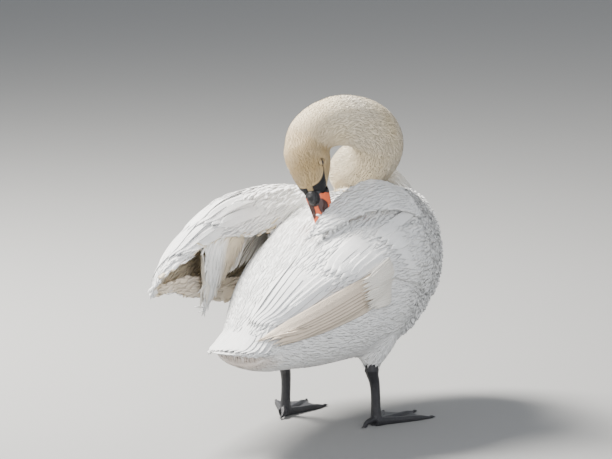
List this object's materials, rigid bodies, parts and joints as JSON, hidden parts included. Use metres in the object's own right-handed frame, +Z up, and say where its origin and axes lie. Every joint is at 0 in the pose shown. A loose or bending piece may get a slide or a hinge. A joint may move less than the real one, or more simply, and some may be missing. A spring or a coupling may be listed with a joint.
{
  "type": "mute swan, still model",
  "caption": "Life-size still mute swan standing on its webbed feet and preening, neck looped back over the shoulders, bill under the lifted shoulder feathers and one wing held loosely away.",
  "frame": {"origin": "on the floor under the middle of the whole bird's bounding box", "axes": "+Y from tail to breast, the way the bird faces; +X to the bird's right; +Z up"},
  "size_m": [0.3712, 0.702, 0.5429],
  "materials": {
    "plumage_white": "white contour feathers, matt",
    "plumage_cream": "short dense feathers, washed with ochre",
    "plumage_stained": "flight feathers with a buff stain",
    "bill_skin": "orange-red horn and skin, semi-matt",
    "black_skin": "black skin, semi-matt",
    "eye": "wet, near-black brown",
    "leg_skin": "blackish scaled skin"
  },
  "bodies": {
    "root": {"trunk": "plumage_white", "tail": "plumage_white", "wing_right": "plumage_white", "wing_right_scapulars": "plumage_white", "wing_left": "plumage_white", "wing_left_axillars": "plumage_white", "thigh_left": "plumage_white", "thigh_right": "plumage_white", "neck_base": "plumage_cream", "neck_middle": "plumage_cream", "neck_upper": "plumage_cream", "head": "plumage_cream", "wing_right_primaries": "plumage_stained", "wing_left_primaries": "plumage_stained", "bill_upper": "bill_skin", "bill_lower": "bill_skin", "knob": "black_skin", "eye_left": "eye", "eye_right": "eye", "leg_left": "leg_skin", "leg_right": "leg_skin", "foot_left": "leg_skin", "foot_right": "leg_skin"}
  },
  "joints": []
}
